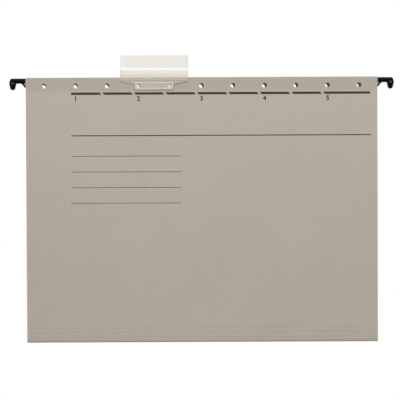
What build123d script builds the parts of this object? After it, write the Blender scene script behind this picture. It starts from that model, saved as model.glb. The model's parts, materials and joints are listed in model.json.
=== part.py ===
from build123d import *
import os
from math import cos, radians, sin

os.makedirs("parts", exist_ok=True)

# A hanging file folder: one creased sheet of board, a steel rail in the hem of each panel,
# moulded sheaths on the hooked rail ends, and a clear plug-in tab with a paper label.
# Frame: +X along the rails, +Z up, the front towards -Y, origin under the middle of the base.
# Sizes are in millimetres. A drop is measured down from the top edge of the board.

# Board
folder_width = 318.0
folder_height = 240.0
board = 0.35
pocket_depth = 8.0  # between the closed panels
score_pitch = 4.2  # height of one strip at the base
score_count = 3  # scores on each panel above the bottom corner
fold_play = 0.06  # slit between the base and the board at each bottom corner
crease_height = 108.3  # pressed line across each panel
crease_width = 0.9  # also of the scores
crease_depth = 0.1

# Punched holes along the top
hole_count = 11
hole_margin = 16.5  # from the board's side edge to the first hole
hole_diameter = 4.5
hole_drop = 7.4

# Rail and hem
rail_thickness = 0.8
rail_play = 0.1  # on each face of the rail
rail_headroom = 0.25  # below the bend of the hem
rail_web = 1.9  # steel below the punched holes
rail_hole_play = 0.5  # the rail's holes are this much larger all round
hem_ease = 0.9  # from the rail's lower edge to the joggle
joggle_run = 2.5
glue_film = 0.1
glue_width = 10.0
glue_margin = 4.0  # bare board at each end of the film

# Hooked rail ends and their sheaths: a reach is measured out from the board's side edge
hook_reach = 15.0
arm_drop = 0.6
arm_height = 4.5
sheath_start = 0.4
sheath_wall = 0.95  # on each face of the steel
core_cover = 0.9  # over the steel's edges
mould_play = 0.03
shoulder_in = 2.8  # where the taper leaves the lower edge of the rail
shoulder_out = 2.4  # where the taper meets the arm
leg_inset = 3.4  # from the hook's outer end to the middle of the down-turned leg
leg_width = 2.4
leg_length = 7.2
gusset_reach = 3.4
gusset_drop = 4.0
window_width = 1.5  # the opening that bares the steel shoulder
window_height = 2.0
arm_chamfer = 0.3
tip_swell = 0.5  # the tip is this much thicker on each face
tip_rounding = 0.45
# The tip's outline is drawn tight round circles: inset from the outer end, depth below the arm's top, radius
tip_circles = [(2.6, 1.9, 1.9), (3.2, 4.4, 3.2), (3.2, 8.9, 2.1)]

# Index tab
tab_hole = 3  # the tab's left peg sits in this hole, counted from 0 at the left
tab_width = 61.0
tab_rise = 20.3
tab_wall = 0.6
tab_play = 0.05  # between the tab and the board
bend_rise = 6.6  # from the board's top edge to the bend
bend_radius = 1.5
turn_fill = 0.98  # share of the sleeve's upper turn that is rounded
sleeve_tilt = 14.0  # degrees back from upright
sleeve_gap = 0.6
bead_diameter = 2.2
bead_offset = 0.7  # from the bend up to the bead
bead_play = 0.1
foot_drop = 4.3  # the tab keeps its full width down to here
foot_chamfer = 0.4  # along the foot's cut outline
foot_crease_drop = 3.4  # pressed line across the foot
foot_crease_width = 0.8
foot_crease_depth = 0.25
slant_height = 2.2
tongue_width = 36.0
tongue_drop = 11.3
tongue_rounding = 1.6
pad_thickness = 0.5
pad_margin = 0.8
pad_rounding = 0.8
pad_draft = 40.0  # degrees, of the pad's sloping rim
peg_play = 0.2
peg_proud = 0.5
peg_chamfer = 0.4
label_width = 55.0
label_thickness = 0.25
label_shift = 2.0  # right of the tab's middle
label_play = 0.15

# Places that follow from the sizes above
half_width = folder_width / 2
panel_in = pocket_depth / 2
panel_out = panel_in + board
flap_out = panel_in - rail_thickness - 2 * rail_play
flap_in = flap_out - board
hem_radius = (panel_out - flap_in) / 2
hem_middle = (panel_out + flap_in) / 2
hem_spring = folder_height - hem_radius
glued_out = panel_in - glue_film
glued_in = glued_out - board
hole_pitch = (folder_width - 2 * hole_margin) / (hole_count - 1)
hole_z = folder_height - hole_drop
rail_hole_radius = hole_diameter / 2 + rail_hole_play
rail_top = hem_spring - rail_headroom
rail_bottom = hole_z - rail_hole_radius - rail_web
rail_middle = panel_in - rail_play - rail_thickness / 2
joggle_top = rail_bottom - hem_ease
joggle_bottom = joggle_top - joggle_run
flap_end = joggle_bottom - glue_width
panel_bottom = score_count * score_pitch
arm_top = folder_height - arm_drop
seat = arm_top - arm_height
core_top = arm_top - core_cover
core_bottom = seat + core_cover
arm_thickness = rail_thickness + 2 * sheath_wall


def save(piece, name):
    """Label a finished piece and write it to its own file."""
    piece.part.label = name
    export_step(piece.part, f"parts/{name}.step")


def mirrored(hand, *points):
    """Turn (reach, height) points into X and Z on the right (1) or left (-1) side of the board."""
    return [(hand * (half_width + reach), height) for reach, height in points]


def draw_groove(sign, height):
    """Draw the section of a line pressed into the outer face of the front (-1) or rear (1) board."""
    Polygon(
        (sign * panel_out, height - crease_width / 2),
        (sign * panel_out, height + crease_width / 2),
        (sign * (panel_out - crease_depth), height),
        align=None,
    )


def draw_rail_end(hand):
    """Draw the tapered shoulder, the arm and the down-turned leg of one rail end."""
    leg_out = hook_reach - leg_inset + leg_width / 2
    leg_in = leg_out - leg_width
    shoulder = [
        (-shoulder_in, rail_bottom),
        (shoulder_out, core_bottom),
        (shoulder_out, core_top),
        (-shoulder_in, rail_top),
    ]
    arm = [(0, core_top), (0, core_bottom), (leg_out, core_bottom), (leg_out, core_top)]
    leg_bottom = arm_top - leg_length
    leg = [(leg_in, core_top), (leg_in, leg_bottom), (leg_out, leg_bottom), (leg_out, core_top)]
    for outline in (shoulder, arm, leg):
        Polygon(*mirrored(hand, *outline), align=None)


# Panels, hems, rails and hooks: the rear half mirrors the front half
for side, sign in (("front", -1), ("rear", 1)):
    with BuildPart() as panel:
        with BuildSketch(Plane.XZ.offset(-sign * (panel_in + board / 2))):
            with Locations((0, (panel_bottom + hem_spring) / 2)):
                Rectangle(folder_width, hem_spring - panel_bottom)
            with Locations((0, hole_z)):
                with GridLocations(hole_pitch, hole_pitch, hole_count, 1):
                    Circle(hole_diameter / 2, mode=Mode.SUBTRACT)
        extrude(amount=board / 2, both=True)
        with BuildSketch(Plane.YZ):
            draw_groove(sign, crease_height)
            draw_groove(sign, panel_bottom)
        extrude(amount=half_width, both=True, mode=Mode.SUBTRACT)
    save(panel, f"{side}_panel")

    with BuildPart() as hem_bend:
        with BuildSketch(Plane.YZ):
            with Locations((sign * hem_middle, hem_spring)):
                Circle(hem_radius)
                Circle(hem_radius - board, mode=Mode.SUBTRACT)
                below_spring = (Align.CENTER, Align.MAX)
                Rectangle(2 * hem_radius, hem_radius, align=below_spring, mode=Mode.SUBTRACT)
        extrude(amount=half_width, both=True)
    save(hem_bend, f"{side}_hem_bend")

    with BuildPart() as hem_flap:
        with BuildSketch(Plane.YZ):
            Polygon(
                (sign * flap_in, hem_spring),
                (sign * flap_in, joggle_top),
                (sign * glued_in, joggle_bottom),
                (sign * glued_in, flap_end),
                (sign * glued_out, flap_end),
                (sign * glued_out, joggle_bottom),
                (sign * flap_out, joggle_top),
                (sign * flap_out, hem_spring),
                align=None,
            )
        extrude(amount=half_width, both=True)
        with BuildSketch(Plane.XZ):
            with Locations((0, hole_z)):
                with GridLocations(hole_pitch, hole_pitch, hole_count, 1):
                    Circle(hole_diameter / 2)
        extrude(amount=pocket_depth, both=True, mode=Mode.SUBTRACT)
    save(hem_flap, f"{side}_hem_flap")

    with BuildPart() as glue:
        with BuildSketch(Plane.XZ.offset(-sign * (panel_in - glue_film / 2))):
            with Locations((0, flap_end + glue_width / 2)):
                Rectangle(folder_width - 2 * glue_margin, glue_width)
        extrude(amount=glue_film / 2, both=True)
    save(glue, f"{side}_hem_glue")

    with BuildPart() as rail:
        with BuildSketch(Plane.XZ.offset(-sign * rail_middle)):
            with Locations((0, (rail_top + rail_bottom) / 2)):
                Rectangle(folder_width - 2 * shoulder_in, rail_top - rail_bottom)
            draw_rail_end(-1)
            draw_rail_end(1)
            with Locations((0, hole_z)):
                with GridLocations(hole_pitch, hole_pitch, hole_count, 1):
                    Circle(rail_hole_radius, mode=Mode.SUBTRACT)
        extrude(amount=rail_thickness / 2, both=True)
    save(rail, f"{side}_rail")

    hook_plane = Plane.XZ.offset(-sign * rail_middle)
    for place, hand in (("left", -1), ("right", 1)):
        with BuildPart() as tip:
            with BuildSketch(hook_plane):
                for inset, depth, radius in tip_circles:
                    with Locations(*mirrored(hand, (hook_reach - inset, arm_top - depth))):
                        Circle(radius)
                make_hull()
            extrude(amount=arm_thickness / 2 + tip_swell, both=True)
            outer_faces = tip.faces().sort_by(Axis.Y)
            fillet(outer_faces[0].edges() + outer_faces[-1].edges(), tip_rounding)

        with BuildPart() as hook:
            with BuildSketch(hook_plane):
                arm_end = hook_reach - leg_inset
                arm_outline = [
                    (sheath_start, arm_top),
                    (arm_end, arm_top),
                    (arm_end, seat),
                    (gusset_reach, seat),
                    (sheath_start, seat - gusset_drop),
                ]
                Polygon(*mirrored(hand, *arm_outline), align=None)
            extrude(amount=arm_thickness / 2, both=True)
            arm_faces = hook.faces().sort_by(Axis.Y)
            chamfer(arm_faces[0].edges() + arm_faces[-1].edges(), arm_chamfer)
            add(tip.part)
            with BuildSketch(hook_plane):
                window_outline = [
                    (sheath_start - arm_chamfer, seat),
                    (sheath_start + window_width, seat),
                    (sheath_start, seat - window_height),
                    (sheath_start - arm_chamfer, seat - window_height),
                ]
                Polygon(*mirrored(hand, *window_outline), align=None)
            extrude(amount=arm_thickness, both=True, mode=Mode.SUBTRACT)
            with BuildSketch(hook_plane):
                draw_rail_end(hand)
                offset(amount=mould_play)
            extrude(amount=rail_thickness / 2 + mould_play, both=True, mode=Mode.SUBTRACT)
        save(hook, f"{side}_{place}_hook")

    for step, strip_name in enumerate(("lower", "middle", "upper")):
        with BuildPart() as strip:
            with BuildSketch(Plane.YZ):
                with Locations((sign * (panel_in + board / 2), (step + 0.5) * score_pitch)):
                    Rectangle(board, score_pitch)
            extrude(amount=half_width, both=True)
            with BuildSketch(Plane.YZ):
                for score in range(1, score_count + 1):
                    draw_groove(sign, score * score_pitch)
            extrude(amount=half_width, both=True, mode=Mode.SUBTRACT)
        save(strip, f"{side}_strip_{strip_name}")

# Base strip between the two bottom corners
with BuildPart() as base_strip:
    with BuildSketch(Plane.YZ):
        with Locations((0, board / 2)):
            Rectangle(2 * (panel_in - fold_play), board)
    extrude(amount=half_width, both=True)
save(base_strip, "base_strip")

# Index tab: a foot on the front panel, and a sleeve that leans back above it
tab_x = (tab_hole + 0.5 - (hole_count - 1) / 2) * hole_pitch
foot_in = panel_out + tab_play
foot_out = foot_in + tab_wall
foot_bottom = folder_height - tongue_drop
tilt = radians(sleeve_tilt)
turn = (tab_wall + sleeve_gap) / 2
bend = (-(foot_in + tab_wall / 2), folder_height + bend_rise)


def on_sleeve(along, out):
    """Y and Z of a point this far up the sleeve's rear wall and this far out in front of its middle."""
    return (bend[0] + along * sin(tilt) - out * cos(tilt), bend[1] + along * cos(tilt) + out * sin(tilt))


tab_top = folder_height + tab_rise
turn_along = (tab_top - tab_wall / 2 - turn - bend[1] - turn * sin(tilt)) / cos(tilt)

with BuildPart() as tab_holder:
    with BuildSketch(Plane.YZ.offset(tab_x)):
        with BuildLine():
            FilletPolyline(
                (bend[0], foot_bottom),
                bend,
                on_sleeve(turn_along + turn, 0),
                on_sleeve(turn_along + turn, 2 * turn),
                on_sleeve(bead_offset, 2 * turn),
                radius=[bend_radius, turn_fill * turn, turn_fill * turn],
            )
        trace(line_width=tab_wall)
        with Locations(on_sleeve(bead_offset, tab_wall / 2 + bead_play + bead_diameter / 2)):
            Circle(bead_diameter / 2)
    extrude(amount=tab_width / 2, both=True)
    with BuildSketch(Plane.XZ):
        slant_top = folder_height - foot_drop
        for hand in (-1, 1):
            Polygon(
                (tab_x + hand * tab_width / 2, slant_top),
                (tab_x + hand * tongue_width / 2, slant_top - slant_height),
                (tab_x + hand * tongue_width / 2, foot_bottom),
                (tab_x + hand * tab_width / 2, foot_bottom),
                align=None,
            )
    extrude(amount=2 * foot_out, both=True, mode=Mode.SUBTRACT)
    fillet(tab_holder.edges().filter_by(Axis.Y).group_by(Axis.Z)[0], tongue_rounding)
    foot_face = tab_holder.faces().filter_by(Axis.Y).sort_by(Axis.Y)[0]
    chamfer(foot_face.edges().filter_by_position(Axis.Z, foot_bottom, slant_top), foot_chamfer)
    with BuildSketch(Plane.YZ.offset(tab_x)):
        foot_crease = folder_height - foot_crease_drop
        Polygon(
            (-foot_out, foot_crease - foot_crease_width / 2),
            (-foot_out, foot_crease + foot_crease_width / 2),
            (foot_crease_depth - foot_out, foot_crease),
            align=None,
        )
    extrude(amount=tongue_width / 2, both=True, mode=Mode.SUBTRACT)
    with BuildSketch(Plane.XZ.offset(foot_out)):
        pad_bottom = foot_bottom + pad_margin
        with Locations((tab_x, (slant_top + pad_bottom) / 2)):
            RectangleRounded(tongue_width - 2 * pad_margin, slant_top - pad_bottom, pad_rounding)
    extrude(amount=pad_thickness, taper=pad_draft)
    with BuildSketch(Plane.XZ.offset(foot_in)):
        with Locations((tab_x, hole_z)):
            with GridLocations(hole_pitch, hole_pitch, 2, 1):
                Circle(hole_diameter / 2 - peg_play)
    extrude(amount=-(foot_in - flap_in + peg_proud))
    chamfer(tab_holder.edges().filter_by(GeomType.CIRCLE).group_by(Axis.Y)[-1], peg_chamfer)
save(tab_holder, "tab_holder")

# Label: it stands on the bead inside the sleeve
label_low = bead_offset + bead_diameter / 2 + label_play
label_high = turn_along + turn - tab_wall / 2 - label_play
label_y, label_z = on_sleeve((label_low + label_high) / 2, turn)
label_plane = Plane(
    origin=(tab_x + label_shift, label_y, label_z),
    x_dir=(1, 0, 0),
    z_dir=(0, -cos(tilt), sin(tilt)),
)
with BuildPart() as tab_label:
    with BuildSketch(label_plane):
        Rectangle(label_width, label_high - label_low)
    extrude(amount=label_thickness / 2, both=True)
save(tab_label, "tab_label")
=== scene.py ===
# %% [markdown]
# # A hanging file folder, dressed for a photograph
#
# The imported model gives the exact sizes: two board panels, a steel rail in the hem of each, four moulded
# hooks and a clear plug-in tab. This lesson keeps that model as a fixed frame and lays the visible skin
# over it: board with real pressed lines, printed marks, rounded mouldings and the finishes.
# The sizes and places that the frame gives are read from it, so that the skin follows the solids.

# %% Load the frame
import json
import math

import bpy
import numpy as np
from mathutils import Matrix, Vector


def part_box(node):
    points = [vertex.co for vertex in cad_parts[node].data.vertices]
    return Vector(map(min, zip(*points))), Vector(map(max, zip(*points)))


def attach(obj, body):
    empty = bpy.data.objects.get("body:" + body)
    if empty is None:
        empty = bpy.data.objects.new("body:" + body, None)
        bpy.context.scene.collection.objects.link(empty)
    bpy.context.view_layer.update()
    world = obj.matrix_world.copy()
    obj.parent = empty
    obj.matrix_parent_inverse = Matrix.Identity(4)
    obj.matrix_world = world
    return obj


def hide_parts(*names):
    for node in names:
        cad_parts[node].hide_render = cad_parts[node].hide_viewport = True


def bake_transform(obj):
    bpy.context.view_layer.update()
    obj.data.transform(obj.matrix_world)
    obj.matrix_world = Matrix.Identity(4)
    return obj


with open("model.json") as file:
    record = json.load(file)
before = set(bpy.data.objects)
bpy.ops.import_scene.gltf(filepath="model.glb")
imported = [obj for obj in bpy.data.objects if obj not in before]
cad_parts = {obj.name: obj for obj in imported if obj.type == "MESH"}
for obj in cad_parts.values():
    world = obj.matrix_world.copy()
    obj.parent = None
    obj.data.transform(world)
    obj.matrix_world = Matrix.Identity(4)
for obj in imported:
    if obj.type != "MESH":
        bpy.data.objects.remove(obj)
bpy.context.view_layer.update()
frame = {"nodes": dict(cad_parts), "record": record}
nodes = frame["nodes"]
MM = 0.001

# %% [markdown]
# ## Small tools
#
# Colours are written as sRGB hex, the way a paint chart gives them, and shaders take linear light.
# A material is a short chain of nodes: one function starts it, and one adds a node with its settings and
# its links. A mesh is made from whole arrays of points and faces in one call.

# %% Tools
def linear(code):
    """An sRGB hex colour as linear RGBA: a channel up to 0.04045 is divided by 12.92, and a larger one has
    0.055 added, is divided by 1.055 and is raised to the power 2.4."""
    srgb = np.array([int(code[i : i + 2], 16) / 255 for i in (1, 3, 5)])
    value = np.where(srgb <= 0.04045, srgb / 12.92, ((srgb + 0.055) / 1.055) ** 2.4)
    return (*value.tolist(), 1.0)


def add(tree, kind, settings):
    """Add one node and return it. A setting names a property of the node or one of its inputs (by name or
    number). An input whose value is the output of another node is linked to it."""
    node = tree.nodes.new(kind)
    for key, value in settings.items():
        if isinstance(value, bpy.types.NodeSocket):
            tree.links.new(value, node.inputs[key])
        elif isinstance(key, str) and hasattr(node, key):
            setattr(node, key, value)
        else:
            node.inputs[key].default_value = value
    return node


def new_material(name, settings):
    """A material with one Principled shader and these settings on the shader's own sockets."""
    made = bpy.data.materials.new(name)
    made.use_nodes = True
    shader = made.node_tree.nodes["Principled BSDF"]
    for key, value in settings.items():
        shader.inputs[key].default_value = value
    return made, made.node_tree, shader


def new_piece(name, points, faces, finish, sharp_deg=35.0):
    """A mesh object from an array of points in metres and a list of faces, smooth but for its sharp edges. A
    corner that a face names twice counts once."""
    mesh = bpy.data.meshes.new(name)
    mesh.from_pydata(np.asarray(points).tolist(), [], [list(dict.fromkeys(map(int, f))) for f in faces])
    mesh.update()
    mesh.shade_smooth()
    mesh.set_sharp_from_angle(angle=math.radians(sharp_deg))
    mesh.materials.append(finish)
    made = bpy.data.objects.new(name, mesh)
    bpy.context.scene.collection.objects.link(made)
    return made


print("tools ready")

# %% [markdown]
# ## Recycled board
#
# Hanging files are cut from grey-brown board made of pulped waste paper and smoothed between rollers.
# Short fibres lie mostly along the roll, a few dark and light flecks of old print stay in the pulp, and the
# tone drifts by a percent or two over a few centimetres. Cut edges and hole rims are a little paler,
# because the knife bares fresh fibre. Painted shade darkens the outer face in a band over the rail, with a
# soft lower edge, and in a line along the bottom fold, where the board turns away from the light. The
# pattern reads the sheet's own flat coordinates in millimetres, so it runs round the folds as it does on
# real board.

# %% Board finish
BOARD_TONE, DARK_FIBRE, PALE_FIBRE, CUT_EDGE = "#b5ab9f", "#978c7d", "#cdc4b7", "#bfb6aa"
DRIFT_MM, FIBRE_MM, FLECK_MM, TOOTH_MM = 45.0, 0.7, 1.3, 0.02
ALONG_ROLL = (0.3, 1.0, 1.0)
SPAN = ("From Min", "From Max", "To Min", "To Max")

# Rough calendered pulp: it scatters light evenly, and only a trace of a sheen is left at low angles.
board_finish, tree, shader = new_material(
    "recycled board, calendered pulp", {"Specular IOR Level": 0.25, "Roughness": 0.86}
)
sheet_mm = add(tree, "ShaderNodeAttribute", {"attribute_name": "sheet_mm"}).outputs["Vector"]
cut = add(tree, "ShaderNodeAttribute", {"attribute_name": "cut_edge"}).outputs["Fac"]
# Painted shade: how much darker the outer face is drawn over the rail and along the bottom fold.
painted_dark = add(tree, "ShaderNodeAttribute", {"attribute_name": "painted_shade"}).outputs["Fac"]
rolled = add(tree, "ShaderNodeVectorMath", {"operation": "MULTIPLY", 0: sheet_mm, 1: ALONG_ROLL}).outputs[0]
drift, fibre, fleck = (
    add(tree, "ShaderNodeTexNoise", {"Vector": place, "Scale": 1 / size, "Detail": detail}).outputs[0]
    for place, size, detail in ((sheet_mm, DRIFT_MM, 2.0), (rolled, FIBRE_MM, 4.0), (rolled, FLECK_MM, 1.0))
)
# Each pattern counts between two of its levels and runs there between two values.
tone, grain, shown, dark, pale = (
    add(tree, "ShaderNodeMapRange", {0: pattern, **dict(zip(SPAN, span))}).outputs[0]
    for pattern, span in (
        (drift, (0.3, 0.7, 0.985, 1.015)),
        (fibre, (0.3, 0.7, 0.97, 1.03)),
        (painted_dark, (0.0, 1.0, 1.0, 0.0)),
        (fleck, (0.66, 0.76, 0.0, 0.3)),
        (fleck, (0.34, 0.24, 0.0, 0.25)),
    )
)
level = tone
for factor in (shown, grain):
    level = add(tree, "ShaderNodeMath", {"operation": "MULTIPLY", 0: level, 1: factor}).outputs[0]
body = linear(BOARD_TONE)[:3]
surface = add(tree, "ShaderNodeVectorMath", {"operation": "SCALE", 0: body, "Scale": level}).outputs[0]
for share, shade in ((dark, DARK_FIBRE), (pale, PALE_FIBRE), (cut, CUT_EDGE)):
    mixed = add(tree, "ShaderNodeMix", {"data_type": "RGBA", 0: share, 6: surface, 7: linear(shade)})
    surface = mixed.outputs[2]
tree.links.new(surface, shader.inputs["Base Color"])
tooth = add(tree, "ShaderNodeBump", {"Height": fibre, "Strength": 0.35, "Distance": TOOTH_MM * MM})
tree.links.new(tooth.outputs[0], shader.inputs["Normal"])
print(board_finish.name, len(tree.nodes), "nodes")

# %% [markdown]
# ## The path of the sheet
#
# Seen from the side, each half of the sheet is one long line. It starts at the middle of the base, turns up
# at the bottom corner, climbs the panel, turns over the rail in a tight bend, comes down inside, steps back
# to the panel at the joggle and ends in the glued flap. A line like that is easiest to give by its heading:
# the angle it runs at, as a function of the length along it. Adding up small steps in that direction gives
# the place of every point, and the direction at a right angle gives the outer face.

# %% Stretches of the sheet
CORNER_RADIUS, JOGGLE_EASE = 1.1, 0.9
panel_low, panel_high = (np.array(c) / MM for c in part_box("front_panel"))
hem_low, hem_high = (np.array(c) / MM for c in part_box("front_hem_bend"))
glue_low, glue_high = (np.array(c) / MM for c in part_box("front_hem_glue"))
rail_low = np.array(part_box("front_rail")[0]) / MM
half_width = panel_high[0]
board = panel_high[1] - panel_low[1]
panel_middle = -(panel_high[1] + panel_low[1]) / 2
hem_radius = (hem_high[1] - hem_low[1]) / 2 - board / 2
hem_spring = panel_high[2]
flap_middle = panel_middle - 2 * hem_radius
glued_middle = -glue_high[1] - board / 2
joggle_top = rail_low[2] - JOGGLE_EASE
joggle_drop = joggle_top - glue_high[2]
joggle_heading = 2 * math.degrees(math.atan((glued_middle - flap_middle) / joggle_drop))
joggle_run = joggle_drop * math.radians(joggle_heading) / math.sin(math.radians(joggle_heading))
stretches = np.array(
    [
        panel_middle - CORNER_RADIUS,
        CORNER_RADIUS * math.pi / 2,
        hem_spring - board / 2 - CORNER_RADIUS,
        hem_radius * math.pi,
        hem_spring - joggle_top,
        joggle_run / 2,
        joggle_run / 2,
        glue_high[2] - glue_low[2],
    ]
)
print("stretches in mm", stretches.round(2).tolist())

# %% [markdown]
# The walk along a heading is a function, because the clear film of the tab is a bent strip too.

# %% Path of the sheet
FINE_STEPS = 60000


def bent_line(out, height, stretches, headings):
    """A line that starts at a distance out from the folder's middle and a height, in mm. Its heading, in
    degrees from straight out, runs evenly between the given values over each stretch. Small steps, each the
    cosine and the sine of the heading times its length, are added up. Returns the lengths at which the
    stretches end, and a function of length that gives the distance out, the height and the heading."""
    knots = np.concatenate([[0.0], np.cumsum(stretches)])
    fine = np.linspace(0, knots[-1], FINE_STEPS + 1)
    turn = np.radians(np.interp(fine, knots, headings))
    middle = (turn[1:] + turn[:-1]) / 2
    fine_out = out + np.concatenate([[0.0], np.cumsum(np.diff(fine) * np.cos(middle))])
    fine_height = height + np.concatenate([[0.0], np.cumsum(np.diff(fine) * np.sin(middle))])
    return knots, lambda length: [np.interp(length, fine, v) for v in (fine_out, fine_height, turn)]


length_knots, along_sheet = bent_line(
    0.0, board / 2, stretches, [0, 0, 90, 90, 270, 270, 270 + joggle_heading, 270, 270]
)


def up_panel(height):
    """Length along the sheet at a height on the panel."""
    return length_knots[2] + height - (board / 2 + CORNER_RADIUS)


def down_flap(height):
    """Length along the sheet at a height on the inner flap."""
    return length_knots[4] + hem_spring - height


sheet_end = [round(float(v), 3) for v in along_sheet(length_knots[-1])]
print("sheet length in mm", round(length_knots[-1], 2), "ends at", sheet_end)

# %% [markdown]
# ## Pressed lines and the lie of the board
#
# Scores are pressed with a blunt rule, which leaves a shallow groove that catches shade. There are three at
# the base. One more, across the middle, is steeper on its lower side, which shows as a pale line.
# Board is never quite flat either: the panel swells a little between base and hem, and it draws in just under
# the rail, where the flap is glued. All of it is one function of place, so that the printed marks can lie on
# exactly the same surface.

# %% Relief of the panel
scores = [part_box(f"front_strip_{name}")[1][2] / MM for name in ("lower", "middle", "upper")]
SCORE_DEPTH, SCORE_HALF = 0.28, 0.5
CREASE_HEIGHT, CREASE_DEPTH, CREASE_ABOVE, CREASE_BELOW = 108.3, 0.2, 0.9, 0.45
FOOT_TAPER = 0.45
SWELL, SIDE_LOSS = 0.55, 0.45
DRAW_DROP, DRAW_DEPTH, DRAW_HALF = 2.0, 0.09, 4.0
draw_height = glue_high[2] - DRAW_DROP


def relief(x, height):
    """How far the panel stands out from its flat place, in mm: a squared sine swell between the top score and
    the glued flap, less a bell-shaped groove at each pressed line, a wide one under the rail, and a parabola
    that draws the foot in below the top score."""
    share = np.clip((height - scores[-1]) / (glue_low[2] - scores[-1]), 0, 1)
    lie = SWELL * np.sin(np.pi * share) ** 2 * (1 - SIDE_LOSS * (x / half_width) ** 2)
    lie -= FOOT_TAPER * np.clip(1 - height / scores[-1], 0, 1) ** 2
    lie -= DRAW_DEPTH * np.exp(-(((height - draw_height) / DRAW_HALF) ** 2))
    crease_half = np.where(height > CREASE_HEIGHT, CREASE_ABOVE, CREASE_BELOW)
    lie -= CREASE_DEPTH * np.exp(-(((height - CREASE_HEIGHT) / crease_half) ** 2))
    for score in scores:
        lie -= SCORE_DEPTH * np.exp(-(((height - score) / SCORE_HALF) ** 2))
    return lie


print("scores in mm", [round(s, 2) for s in scores])

# %% [markdown]
# ## The grid of a half sheet
#
# Each half is a grid: one direction runs across the folder and the other along the path above. The lines lie
# closer at the pressed lines, the bends and the cut edges, and round the punched holes, which go through the
# panel and through the flap behind the rail.

# %% Lines of the grid
mounts = {m["name"]: m for m in frame["record"]["mounts"]}
hole_pitch = mounts["tab_holes_1"]["dims"]["spacing_x_mm"]
hole_radius = mounts["tab_holes_1"]["dims"]["hole_r_mm"]
hole_height = mounts["tab_holes_1"]["pos_m"][2] / MM
HOLE_COUNT = 11
hole_x = (np.arange(HOLE_COUNT) - (HOLE_COUNT - 1) / 2) * hole_pitch
CELL, CELL_PARTS = 5.0, 10
GROOVE_REACH, CREASE_SPREAD, FINE_FROM = 1.2, 1.5, 212.0


def tidy(*groups):
    """All the numbers in these groups as one rising list without repeats."""
    return np.unique(np.round(np.concatenate([np.ravel(g) for g in groups]), 5))


cell_line = np.linspace(-CELL, CELL, CELL_PARTS + 1)
side_line = half_width - np.array([0.8, 0.4, 0.15, 0.0])
x_lines = tidy(
    hole_x[:, None] + cell_line,
    hole_x[:-1, None] + np.linspace(CELL, hole_pitch - CELL, 6),
    np.outer([-1, 1], np.linspace(hole_x[-1] + CELL, side_line[0], 5)),
    np.outer([-1, 1], side_line),
)
groove_line = np.linspace(-GROOVE_REACH, GROOVE_REACH, 15)
length_lines = tidy(
    np.linspace(0, length_knots[1], 5),
    np.linspace(length_knots[1], length_knots[2], 9),
    up_panel(np.add.outer(scores, groove_line)),
    up_panel(CREASE_HEIGHT + CREASE_SPREAD * groove_line),
    up_panel(np.linspace(scores[-1] + GROOVE_REACH, CREASE_HEIGHT - GROOVE_REACH, 14)),
    up_panel(np.linspace(CREASE_HEIGHT + GROOVE_REACH, FINE_FROM, 14)),
    up_panel(np.linspace(FINE_FROM, hole_height - CELL, 13)),
    up_panel(hole_height + cell_line),
    np.linspace(length_knots[3], length_knots[4], 15),
    down_flap(hole_height + cell_line),
    np.linspace(length_knots[5], length_knots[7], 9),
    np.linspace(length_knots[7], length_knots[8], 4),
)
grid = np.arange(len(length_lines) * len(x_lines)).reshape(len(length_lines), len(x_lines))
print("grid lines", grid.shape)

# %% [markdown]
# Round each punched hole a square of the grid is taken out and filled with rings that pass from the square to
# the circle. The grid stays regular elsewhere, and the rim is as round as the punch leaves it.

# %% Rings round the holes
RINGS = 3
hole_lengths = [up_panel(hole_height), down_flap(hole_height)]


def squares(index, closed=False):
    """The corners of every square in a grid of point numbers, in turn. A closed grid also has the squares
    from its last column to its first."""
    if closed:
        index = np.column_stack([index, index[:, 0]])
    return np.stack([index[:-1, :-1], index[:-1, 1:], index[1:, 1:], index[1:, :-1]], axis=-1)


flat_length, flat_x = (g.ravel() for g in np.meshgrid(length_lines, x_lines, indexing="ij"))
kept = np.ones((len(length_lines) - 1, len(x_lines) - 1), bool)
share = (np.arange(1, RINGS + 1) / RINGS)[:, None]
ring_faces, ring_length, ring_x = [], [], []
next_point = grid.size
for hole_length in hole_lengths:
    row = np.argmin(abs(length_lines - (hole_length - CELL)))
    for centre in hole_x:
        column = np.argmin(abs(x_lines - (centre - CELL)))
        kept[row : row + CELL_PARTS, column : column + CELL_PARTS] = False
        cell = grid[row : row + CELL_PARTS + 1, column : column + CELL_PARTS + 1]
        rim = np.concatenate([cell[0, :-1], cell[:-1, -1], cell[-1, :0:-1], cell[:0:-1, 0]])
        across, up = flat_x[rim] - centre, flat_length[rim] - hole_length
        scale = (1 - share) + share * hole_radius / np.hypot(across, up)
        ring_x.append((centre + across * scale).ravel())
        ring_length.append((hole_length + up * scale).ravel())
        rings = np.concatenate([rim[None], next_point + np.arange(scale.size).reshape(scale.shape)])
        ring_faces.append(squares(rings, closed=True).reshape(-1, 4))
        next_point += scale.size
used, faces = np.unique(np.concatenate([squares(grid)[kept], *ring_faces]), return_inverse=True)
faces = faces.reshape(-1, 4)
flat_x = np.concatenate([flat_x, *ring_x])[used]
flat_length = np.concatenate([flat_length, *ring_length])[used]
count = len(used)
print("points", count, "faces", len(faces))

# %% [markdown]
# The relief sets in round the bottom corner and ends where the hem's bend begins. Each point also keeps two
# numbers for the finish: the share of fresh fibre that the nearest cut bares, and the painted shade over
# the rail and at the bottom fold.

# %% Lie and tone of the sheet
CUT_SHARE, CUT_REACH = 0.75, 0.3
# Painted shade: its depth over the rail and at the bottom fold, the blur of the band's lower edge, and the
# half width of the fold line.
RAIL_BAND_SHADE, BAND_BLUR, FOLD_SHADE, FOLD_SHADE_HALF = 0.085, 1.0, 0.3, 0.9
corner_start, corner_end, hem_start, hem_end = length_knots[1:5]


def eased(share):
    """A share with a gentle start and end: held between 0 and 1, squared, and times 3 less twice itself."""
    share = np.clip(share, 0, 1)
    return share**2 * (3 - 2 * share)


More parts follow.
